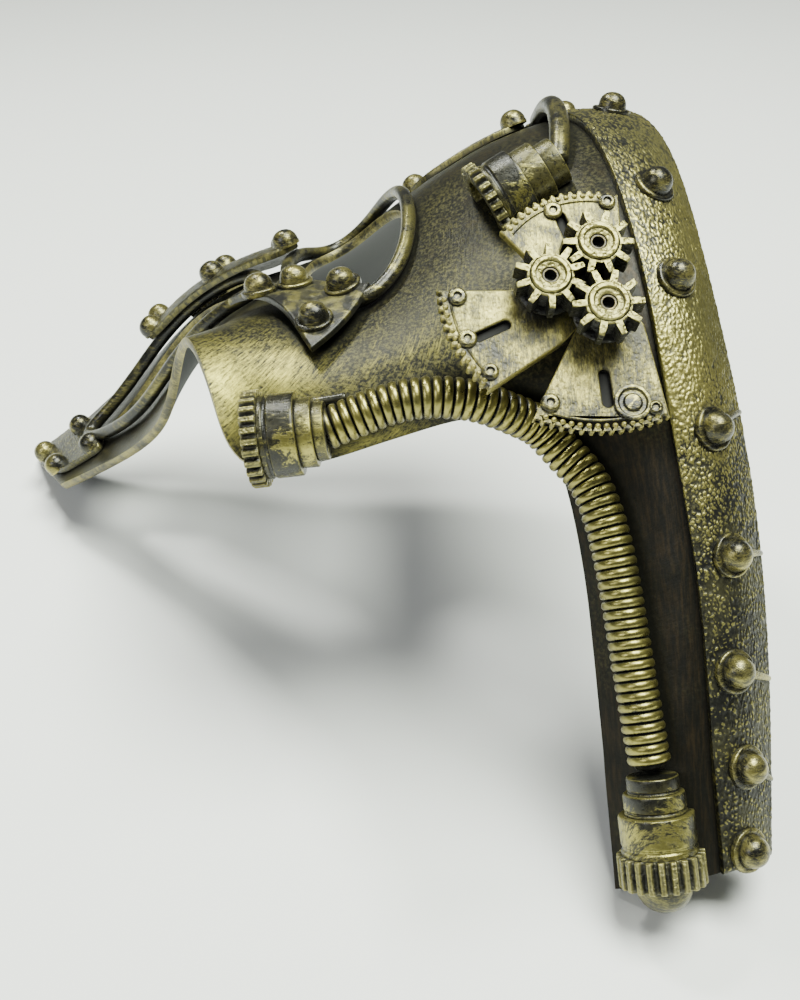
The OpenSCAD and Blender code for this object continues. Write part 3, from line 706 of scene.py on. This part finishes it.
def pebbles(pts):
    out = np.empty(len(pts))
    for i, p in enumerate(pts):
        q = Vector((p[0] * 0.95, p[1] * 1.1, p[2] * 1.35))
        q = q + 0.45 * noise.noise_vector(q * 0.7)
        d = noise.voronoi(q)[0]
        out[i] = 0.46 * min(d[1] - d[0], 0.5) + 0.05 * noise.noise(q * 0.35)
    return out


part = Part()
# the shade term paints a highlight across the middle of the band and makes the band darker towards its lower
# end
slab(part, band_place, 150, 36, 500, 112, 0.05, BAND_TOP, 0.6, pebbles,
     lambda s, t: 0.28 * np.exp(-((s - 0.42) / 0.13) ** 2) - 0.22 * np.clip((s - 0.55) / 0.2, 0, 1))
part.done("edge_band_leather", [M_BAND], "band_leather", ["edge_band"], 75)

BAND_PLACES = [[8.84, 4.75], [9.44, 4.43], [10.14, 3.75], [10.69, 3.36], [11.82, 3.49], [12.74, 3.51],
               [13.55, 3.38], [14.25, 3.8], [14.87, 3.87]]


def washer(part, u, v, h, d=9.6, t=1.0, seed=0.0):
    r = d / 2
    prof = [(0.01, -0.6), (r, -0.6), (r, t * 0.75), (r - 0.5, t), (r - 1.1, t * 0.9), (3.2, t * 0.8),
            (0.01, t * 0.8)]
    lathe(part, seat(u, v, h), soft(prof, 0.35), 40, rough=0.16, seed=seed)


def dome(part, u, v, h, d=7.0, top=3.9, seed=0.0):
    r = d / 2
    prof = [(r * 1.02, -0.5), (r * 1.03, 0.2), (r * 0.99, 0.55)]
    for a in np.radians([12, 24, 36, 48, 58, 68, 76, 83, 88]):
        prof.append((r * math.cos(a) ** 0.9, 0.45 + (top - 0.45) * math.sin(a) ** 0.95))
    lathe(part, seat(u, v, h), [(0.01, -0.5)] + prof, 32, rough=0.1, seed=seed)


part = Part()
for i, (u, v) in enumerate(BAND_PLACES):
    washer(part, u, v, BAND_TOP, seed=i * 3.1)
# four of the lower washers run out into a tail towards the outer edge
for u, v in BAND_PLACES[4:8]:
    path = np.array([[u + 0.02 * k, v + (4.93 - v) * k / 8] for k in range(9)])
    lift = np.linspace(2.0, 1.75, 9)
    tube(part, on(path[:, 0], path[:, 1], lift), np.linspace(1.5, 0.65, 9), 14)
part.done("band_washer_set", [M_RIVET], "rivet", ["band_washers"], 50)
part = Part()
for i, (u, v) in enumerate(BAND_PLACES):
    dome(part, u, v, 2.6, seed=20 + i)
part.done("band_rivet_set", [M_RIVET], "rivet", ["band_rivets"], 50)

# ---------------------------------------------------------------- eye pipes, bead and over-pipe
PIPE_RISE, PIPE_R = 2.4, 1.8
NEAR_PIPE = [[6.12, 4.15], [6.48, 3.4], [6.42, 2.8], [5.97, 2.35], [5.4, 2.2], [4.8, 2.3], [4.35, 3],
             [4.6, 3.9], [5.4, 4.4]]
FAR_PIPE = [[4.1, 3.6], [4.15, 2.6], [3.5, 1.75], [2.4, 1.35], [1.2, 1.5], [0.8, 2.4], [1.4, 3.4], [3, 4]]


def ring_pipe(name, ctrl, node):
    c = looped(ctrl, 120)
    pts = on(c[:, 0], c[:, 1], np.full(120, PIPE_RISE))
    part = Part()
    tube(part, pts, PIPE_R + 0.08 * wobble(pts, 0.12), 22, True)
    part.done(name, [M_PIPE], "rim_pipe", [node], 60)


ring_pipe("near_eye_ring", NEAR_PIPE, "near_eye_pipe")
ring_pipe("far_eye_ring", FAR_PIPE, "far_eye_pipe")

part = Part()
c = strung([[5.35, 0.35], [5.55, 0.62], [5.9, 0.92], [6.3, 1.1]], 40)
tube(part, on(c[:, 0], c[:, 1], np.full(41, 0.9)), 1.1, 16)
part.done("nose_raised_bead", [M_PIPE], "rim_pipe", ["nose_bead"], 60)

OVER = [[8.6, 3.36], [8.66, 3.6], [8.62, 3.88], [8.52, 4.15], [8.42, 4.45]]
part = Part()
c = strung(OVER, 48)
rise = along([1.5, 3.8, 4.4, 3.6, 1.6], np.linspace(0, 4, 49))
pts = on(c[:, 0], c[:, 1], rise)
tube(part, pts, 2.45 + 0.1 * wobble(pts, 0.1), 24)
part.done("over_strap_pipe", [M_PIPE], "rim_pipe", ["over_pipe"], 60)

# ---------------------------------------------------------------- corrugated hose
HOSE = [[6.37, 0.59], [6.75, 0.95], [7.2, 1.03], [7.8, 0.9], [8.5, 0.5], [9.3, 0.3], [10.3, 0.35], [11.2, 0.75],
        [12, 0.95], [12.9, 1.05], [13.5, 1.15], [14.05, 1.27]]
HOSE_RISE = 4.9
part = Part()
rings, per = 58, 10
fine = strung(HOSE, 900)
raw = on(fine[:, 0], fine[:, 1], np.full(901, HOSE_RISE))
run = np.concatenate([[0], np.cumsum(np.linalg.norm(np.diff(raw, axis=0), axis=1))])
s = np.linspace(0, run[-1], rings * per + 1)
c = np.stack([np.interp(s, run, fine[:, k]) for k in (0, 1)], -1)
pts = on(c[:, 0], c[:, 1], np.full(len(c), HOSE_RISE))
ph = (np.arange(len(s)) / per) % 1.0
crest = np.abs(np.sin(np.pi * ph)) ** 0.33
each = np.array([noise.noise(Vector((i * 1.7, 0.3, 0.1))) for i in range(rings + 1)])
rad = 3.4 + 1.2 * crest + 0.12 * each[(np.arange(len(s)) // per)] * crest
tube(part, pts, rad, 30, tone=np.clip(crest * 1.15 - 0.25, 0, 1))
part.done("ribbed_hose", [M_HOSE], "hose", ["corrugated_hose"], 70)

# ---------------------------------------------------------------- nose plate, straps and temple plate


def hammered(amount, scale):
    def f(pts):
        return amount * wobble(pts, scale) + 0.5 * amount * wobble(pts, scale * 2.7, 5.0)
    return f


# height of the nose plate's top over the outer face
KITE_TOP = 4.6


def kite(s, t):
    """Four-cornered nose plate between the eye rings."""
    a = np.array([3.95, 1.75])
    b = np.array([5.9, 2.5])
    c = np.array([5.55, 1.42])
    i = 8 * s
    av = a + (b - a) * s[..., None]
    bv = a + (c - a) * s[..., None]
    pull = 0.35 * np.sin(np.radians(22.5 * i))
    av = av + (np.array([4.6, 2.9]) - av) * pull[..., None]
    uv = av + (bv - av) * t[..., None]
    return uv[..., 0] + 0.02 * (i - 4), uv[..., 1]


part = Part()
slab(part, kite, 34, 18, 60, 40, 3.0, KITE_TOP, 0.6, hammered(0.18, 0.35))
part.done("nose_kite_plate", [M_STRAP], "rim_pipe", ["nose_plate"], 70)


def strap_place(u0, u1, low, high):
    def f(s, t):
        i = 12 * s
        pinch = 1 - 0.5 * (np.abs(i - 6) / 6) ** 6
        mid = (low + high) / 2 + (i - 6) * 0.01
        half = (high - low) / 2
        return u0 + (u1 - u0) * s, mid + half * pinch * (2 * t - 1)
    return f


for name, args, h, nodes, ls, lt in (
        ("near_brow_leather", (6.45, 8.2, 4.15, 4.85), 0.4, ["near_brow_strap"], 33, 16),
        ("far_brow_leather", (2.6, 4.7, 3.3, 4.3), 5.0, ["far_brow_strap"], 60, 16),
        ("temple_leather", (0.05, 1.1, 1, 4.4), 0.3, ["temple_plate"], 24, 40)):
    part = Part()
    slab(part, strap_place(*args), ls, lt, 90, 44, h, h + 1.8, 0.6, lambda p: pebbles(p) * 0.6)
    part.done(name, [M_STRAP], "strap_leather", nodes, 75)

NOSE_PLACES = [[4.35, 1.75], [4.72, 2.21], [5.56, 2.4], [5.4, 1.72]]
part = Part()
for i, (u, v) in enumerate(NOSE_PLACES):
    washer(part, u, v, KITE_TOP, d=9.0, seed=50 + i)
    dome(part, u, v, KITE_TOP + 0.7, seed=60 + i)
part.done("nose_rivet_set", [M_RIVET], "rivet", ["nose_rivets"], 50)

for name, node, places, h in (
        ("near_brow_rivet_set", "near_brow_rivets", [[6.6, 4.3], [6.6, 4.75], [8.05, 4.3], [8.05, 4.75]], 2.2),
        ("far_brow_rivet_set", "far_brow_rivets",
         [[2.7, 3.6], [3.6, 3.55], [4.55, 3.55], [2.8, 4.1], [3.7, 4.05], [4.5, 4.05]], 6.8),
        ("temple_rivet_set", "temple_rivets", [[0.2, 1.6], [0.2, 3.4], [0.9, 1.5], [0.9, 3.6]], 2.1)):
    part = Part()
    for i, (u, v) in enumerate(places):
        dome(part, u, v, h, seed=80 + i)
    part.done(name, [M_RIVET], "rivet", [node], 50)

# ---------------------------------------------------------------- nozzles


def drum(part, fr, z0, z1, r, cut, groove=True, teeth=None, hole=None, seed=0.0):
    """Round section of a nozzle. teeth = (count, depth); hole = (radius, depth, optional shift along y)."""
    prof = [(0.01, z0), (r, z0), (r, z1)]
    if groove and not teeth:
        w = z1 - z0
        prof = [(0.01, z0), (r - 0.15, z0), (r, z0 + 0.5), (r, z1 - w * 0.28), (r - 0.28, z1 - w * 0.24),
                (r - 0.28, z1 - w * 0.18), (r, z1 - w * 0.14), (r, z1)]
    if hole:
        hr, hd = hole[0], hole[1]
        prof += [(hr, z1), (hr, z1 - hd), (0.01, z1 - hd)]
    else:
        prof += [(0.01, z1)]
    tt = (teeth[0], teeth[1], z0, z1, r - 0.8) if teeth else None
    sh = (0, hole[2], hole[0] + 0.3) if hole and len(hole) > 2 else None
    lathe(part, fr, soft(prof, 0.35), teeth[0] * 12 if teeth else 72, cut, tt, shift=sh,
          rough=0.0 if teeth else 0.12, seed=seed)


JAW = lead([14.12, 1.29], [15, 1.32], HOSE_RISE)
part = Part()
drum(part, JAW, 0.5, 4.1, 5.5, 4.6, seed=1)
part.done("jaw_nozzle_collar", [M_NOZZLE], "nozzle", ["jaw_collar"], 45)
part = Part()
drum(part, JAW, 3.9, 8.4, 6.5, 4.6, seed=2)
part.done("jaw_nozzle_flange", [M_NOZZLE], "nozzle", ["jaw_flange"], 45)
part = Part()
drum(part, JAW, 8.3, 16.6, 8.0, 4.6, seed=3)
part.done("jaw_nozzle_drum", [M_NOZZLE], "nozzle", ["jaw_drum"], 45)
part = Part()
drum(part, JAW, 16.5, 23.1, 9.2, 4.6, teeth=(22, 1.25))
part.done("jaw_nozzle_teeth", [M_GEAR], "nozzle", ["jaw_toothed_ring"], 45)
part = Part()
ball = [(6.0 * math.cos(a), 23.1 + 5.95 * math.sin(a)) for a in np.radians(np.linspace(5, 88, 12))]
lathe(part, JAW, [(0.01, 22.9), (6.0, 22.9)] + ball, 48, 4.6, rough=0.15)
part.done("jaw_nozzle_cap", [M_PIPE], "nozzle", ["jaw_cap"], 50)

NOSE = lead([6.4, 0.58], [5.72, 0.12], 6)
part = Part()
drum(part, NOSE, 0, 2.5, 6.3, 5.4, groove=False, seed=4)
drum(part, NOSE, 2.4, 5.9, 7.5, 5.4, groove=False, seed=5)
drum(part, NOSE, 5.8, 13.6, 9.0, 5.4, seed=6)
part.done("nose_nozzle_drums", [M_NOZZLE], "nozzle", ["nose_drums"], 45)
part = Part()
drum(part, NOSE, 13.5, 16.9, 10.5, 5.4, teeth=(26, 1.25), hole=(3.4, 3.2, 2.4))
part.done("nose_nozzle_flange", [M_GEAR], "nozzle", ["nose_flange"], 45)

TEMPLE = lead([8.62, 3.3], [7.45, 3.02], 2.6)
part = Part()
drum(part, TEMPLE, 0, 4.5, 6.2, 2, groove=False, seed=7)
drum(part, TEMPLE, 4.4, 9.9, 7.7, 2, groove=False, seed=8)
drum(part, TEMPLE, 9.8, 17.5, 8.9, 2, hole=(6.7, 5.4), seed=9)
part.done("temple_nozzle_drums", [M_NOZZLE], "nozzle", ["temple_drums"], 45)


def ring_faces(k, n):
    """Faces of k rings of n points each, joined round to the first ring again."""
    faces = []
    for i in range(k):
        a, b = i * n, ((i + 1) % k) * n
        faces += [(a + j, a + (j + 1) % n, b + (j + 1) % n, b + j) for j in range(n)]
    return faces


def toothed_hoop(part, fr, z0, z1, tip, count, depth, hole, cut):
    """Toothed ring with an open bore, flattened below."""
    n = count * 12
    prof = soft([(hole, z0), (tip, z0), (tip, z1), (hole, z1), (hole, z0)], 0.3)
    o, m = fr
    th = 2 * np.pi * np.arange(n) / n
    rings = []
    for r, z in prof:
        rr = np.full(n, r)
        if r > tip - 0.8:
            wave = (np.clip(1.5 * np.cos(th * count) + 0.45, -0.5, 0.8) + 0.5) / 1.3
            rr = rr - depth * (1 - wave)
        rings.append(np.stack([rr * np.cos(th), np.maximum(rr * np.sin(th), -cut), np.full(n, z)], -1))
    rings = rings[:-1]
    k = len(rings)
    pts = o + np.concatenate(rings) @ m
    part.add(pts, ring_faces(k, n))


part = Part()
toothed_hoop(part, TEMPLE, 17.5, 20.1, 10.5, 24, 1.35, 6.7, 2)
part.done("temple_nozzle_flange", [M_GEAR], "nozzle", ["temple_flange"], 45)

FAR = lead([3.2, 4.6], [4.2, 4.55], 5.6)
part = Part()
drum(part, FAR, 14, 17, 7.0, 4, teeth=(18, 1.1))
part.done("far_nozzle_teeth", [M_GEAR], "nozzle", ["far_nozzle_flange"], 45)
part = Part()
prof = [(0.01, 0)]
for i in range(6):
    z = 2.4 * i
    prof += [(3.6, z), (4.3, z + 0.25), (4.3, z + 1.4), (3.6, z + 1.65)]
lathe(part, FAR, soft(prof + [(0.01, 14)], 0.3), 40, 4)
part.done("far_ribbed_stub", [M_HOSE], "hose", ["far_hose_stub"], 60)

# ---------------------------------------------------------------- gear group
PLATE_T = 2.2
HUB_O, HUB_M = axes(on(9.34, 2.06, 9.4), [0.02, -0.62, 0.78], [1, 0, 0])


def spot(x, y, h):
    return HUB_O + np.array([x, y, h]) @ HUB_M, HUB_M


part = Part()
lathe(part, spot(0, 0, 0), soft([(0.01, -10.4), (6.4, -10.4), (6.4, 0), (0.01, 0)], 0.4), 40)
part.done("gear_hub_post", [M_DARK], "dark_pin", ["gear_hub"], 45)


def flat_plate(part, outline, holes, thick, base, edge=0.35, mat=0):
    """Flat plate with rounded edges, from a filled 2-D curve."""
    cu = bpy.data.curves.new("tmp_plate", "CURVE")
    cu.dimensions = "2D"
    cu.fill_mode = "BOTH"
    cu.extrude = thick / 2 - edge
    cu.bevel_depth = edge
    cu.bevel_resolution = 2
    cu.offset = -edge
    for ring in [outline] + holes:
        sp = cu.splines.new("POLY")
        sp.points.add(len(ring) - 1)
        for pt, (x, y) in zip(sp.points, ring):
            pt.co = (x, y, 0, 1)
        sp.use_cyclic_u = True
    ob = bpy.data.objects.new("tmp_plate", cu)
    bpy.context.scene.collection.objects.link(ob)
    bpy.context.view_layer.update()
    me = bpy.data.meshes.new_from_object(ob)
    verts = np.array([v.co[:] for v in me.vertices])
    faces = [tuple(p.vertices) for p in me.polygons]
    bpy.data.objects.remove(ob)
    bpy.data.curves.remove(cu)
    bpy.data.meshes.remove(me)
    verts[:, 2] += base + thick / 2
    part.add(HUB_O + verts @ HUB_M, faces, mat, verts[:, :2] * MM)


def arc_point(r, a):
    return r * math.cos(math.radians(a)), r * math.sin(math.radians(a))


def sector(name, node, r, a0, a1, inner, slot_a, slot_r, slot_l=6.0):
    part = Part()
    count = int((a1 - a0) * r * math.pi / 180 / 2.0)
    outline = []
    for k in range(count * 8 + 1):
        a = a0 + (a1 - a0) * k / (count * 8)
        ph = (k / 8) % 1.0
        bump = 0.42 * min(1, max(-1, 1.8 * math.cos(2 * math.pi * ph)))
        outline.append(arc_point(r + bump, a))
    outline += inner
    slot = []
    ca, sa = math.cos(math.radians(slot_a)), math.sin(math.radians(slot_a))
    for k in range(24):
        q = 2 * math.pi * k / 24
        x = math.cos(q) * 1.1 + (slot_l / 2 if math.cos(q) >= 0 else -slot_l / 2) + slot_r
        y = math.sin(q) * 1.1
        slot.append((x * ca - y * sa, x * sa + y * ca))
    flat_plate(part, outline, [slot], PLATE_T, 0)
    # a black back under the slot: painted shadow seen through the slot
    mid = np.mean(slot, axis=0)
    flat_plate(part, [tuple(mid + (np.array(q) - mid) * 1.25) for q in slot], [], 0.7, 0.15, 0.1, 1)
    for k in range(count):
        a = a0 + 2.4 + (a1 - a0 - 4.8) * (k + 0.5) / count
        x, y = arc_point(r - 1.0, a)
        lathe(part, spot(x, y, 2.0), [(0.01, -0.2), (0.62, -0.1), (0.6, 0.25), (0.4, 0.52), (0.01, 0.6)], 12)
    # raised ring and a cast web line on the plate
    for rr, a, b in ((r - 2.2, a0 + 3, a1 - 3), (9.0, a0 + 12, a1 - 12)):
        qs = np.linspace(a, b, 30)
        line = np.array([spot(*arc_point(rr, q), 2.15)[0] for q in qs])
        tube(part, line, 0.32, 8)
    part.done(name, [M_PLATE, M_SLOT_SHADOW], "gear", [node], 45)


sector("upper_sector", "upper_sector_plate", 22, 73, 146, [(-12.9, 6.3), (0, -2), (7, 6)], 110, 14)
sector("left_sector", "left_sector_plate", 31.5, 182, 227,
       [(-6, -12.3), (0, -6), (-5, 0), (-15.8, -0.9)], 206, 22.9)
sector("lower_sector", "lower_sector_plate", 31.5, 246, 297,
       [(10.5, -8.3), (5, -2), (-1, -4), (-5.5, -13.5)], 275, 22.5)

# radius, angle and diameter of each screw head
SCREWS = [[18.8, 113, 4], [20, 78, 3.6], [27.8, 185.5, 4], [28.4, 205, 4], [28.6, 222, 3.6],
          [27.4, 250, 4], [26.5, 285.5, 7.6], [29, 293.5, 3.2]]
part = Part()
for r, a, d in SCREWS:
    x, y = arc_point(r, a)
    q = d / 2
    if d > 6:
        prof = [(0.01, -0.2), (q, -0.2), (q, 0.7), (q - 0.8, 0.75), (q - 1.0, 0.3), (q - 1.9, 0.3),
                (q - 2.1, 0.75), (0.01, 0.75)]
    else:
        prof = [(0.01, -0.2), (q, -0.2), (q, 0.5), (q - 0.4, 0.85), (0.8, 0.95), (0.75, 0.4), (0.01, 0.4)]
    lathe(part, spot(x, y, PLATE_T), soft(prof, 0.18), 32)
part.done("sector_screw_set", [M_RIVET], "rivet", ["sector_screws"], 45)


def cog(name, node, x, y, base, turn, count=10, tip=7.3, root=4.8, t=5.0):
    """Small pinion with blunt teeth, a raised hub ring and a bored middle, on a round foot."""
    part = Part()
    n = count * 16
    half = 360 / count
    th = (np.arange(n) / n) * 360
    ph = ((th + half / 2) % half) - half / 2
    w = np.clip((0.25 - np.abs(ph) / half) / 0.12, 0, 1)
    w = w * w * (3 - 2 * w)
    rim = root + (tip - root) * w
    ang = np.radians(th + turn)
    rings, tones = [], []

    def ring(r, z):
        r = np.broadcast_to(r, (n,))
        tones.append(np.full(n, 0.9 if z > t - 0.3 else 0.0))
        rings.append(np.stack([r * np.cos(ang), r * np.sin(ang), np.full(n, z)], -1))
    ring(1.7, -3)
    ring(4.4, -3)
    ring(4.4, -0.9)
    ring(6.1, -0.85)
    ring(6.4, -0.6)
    ring(6.4, -0.2)
    ring(6.1, 0.05)
    ring(np.minimum(rim, 6.1), 0.1)
    ring(rim, 0.3)
    ring(rim, t - 0.45)
    ring(rim - 0.12, t - 0.14)
    ring(rim - 0.45, t)
    ring(4.3, t)
    ring(4.2, t - 0.25)
    ring(4.1, t - 0.05)
    ring(4.0, t + 0.45)
    ring(3.8, t + 0.66)
    ring(3.2, t + 0.66)
    ring(3.0, t + 0.45)
    ring(2.9, t + 0.05)
    ring(2.0, t)
    ring(1.75, t - 0.2)
    ring(1.7, t - 0.6)
    k = len(rings)
    o, m = spot(x, y, base)
    pts = o + np.concatenate(rings) @ m
    part.add(pts, ring_faces(k, n), 0, None, np.concatenate(tones))
    part.done(name, [M_GEAR], "gear", [node], 40)


# name, x, y and height on the gear plane, and turn in degrees
PINIONS = [("upper", 0.3, 5.9, 5.6, 1), ("left", -9.6, -1.6, 5.6, 19), ("lower", 1.3, -8.4, 7.6, 4)]
for nm, x, y, base, turn in PINIONS:
    cog(nm + "_cog", nm + "_pinion", x, y, base, turn)
    part = Part()
    top = base + 5 - 0.4 - 2.2
    prof = [(0.01, 0), (1.65, 0), (1.65, top), (1.2, top), (1.1, top - 2.2), (0.01, top - 2.2)]
    lathe(part, spot(x, y, PLATE_T), soft(prof, 0.12), 32)
    part.done(nm + "_cog_pin", [M_DARK], "dark_pin", [nm + "_pinion_pin"], 45)

# ---------------------------------------------------------------- floor, light and camera
floor = Nodes("floor_paper")
grainy = floor.noise(floor.object(), 900.0, 3.0, 0.6)
wash = floor.noise(floor.object(), 5.0, 2.0, 0.5)
floor.put(floor.p.inputs["Base Color"], floor.mix(wash, (0.80, 0.82, 0.80), (0.84, 0.855, 0.84)))
floor.put(floor.p.inputs["Roughness"], 0.75)
floor.put(floor.p.inputs["Normal"], floor.bump(grainy, 0.05, 0.0002))
me = bpy.data.meshes.new("floor")
s = 6.0
me.from_pydata([(-s, -s, 0), (s, -s, 0), (s, s, 0), (-s, s, 0)], [], [(0, 1, 2, 3)])
me.materials.append(floor.mat)
ground = bpy.data.objects.new("floor", me)
bpy.context.scene.collection.objects.link(ground)

world = bpy.data.worlds.new("world")
bpy.context.scene.world = world
world.use_nodes = True
world.node_tree.nodes["Background"].inputs[0].default_value = (0.90, 0.93, 0.93, 1)
world.node_tree.nodes["Background"].inputs[1].default_value = 0.17


def area(name, at, to, size, power, color=(1, 1, 1)):
    d = bpy.data.lights.new(name, "AREA")
    d.shape = "RECTANGLE"
    d.size, d.size_y = size
    d.energy = power
    d.color = color
    o = bpy.data.objects.new(name, d)
    o.location = at
    o.rotation_euler = (Vector(to) - Vector(at)).to_track_quat("-Z", "Y").to_euler()
    bpy.context.scene.collection.objects.link(o)


area("key", (0.27, -0.06, 1.18), (0.0, -0.05, 0.0), (0.7, 0.6), 42.0, (0.95, 1.0, 0.89))
area("window", (-0.28, 0.39, 0.80), (0.01, 0.0, 0.10), (0.15, 0.12), 6.5, (0.97, 1.0, 0.92))
area("front_left", (-0.50, -0.40, 0.55), (0.0, 0.0, 0.07), (0.30, 0.30), 2.4, (0.97, 0.99, 1.0))

cam_data = bpy.data.cameras.new("camera")
cam_data.sensor_fit = "VERTICAL"
cam_data.sensor_height = 24.0
cam_data.lens = 28.8
cam_data.clip_start = 0.01
cam = bpy.data.objects.new("camera", cam_data)
cam.location = (0.02087, -0.24816, 0.22184)
cam.rotation_euler = (math.radians(55), 0, 0)
bpy.context.scene.collection.objects.link(cam)
bpy.context.scene.camera = cam
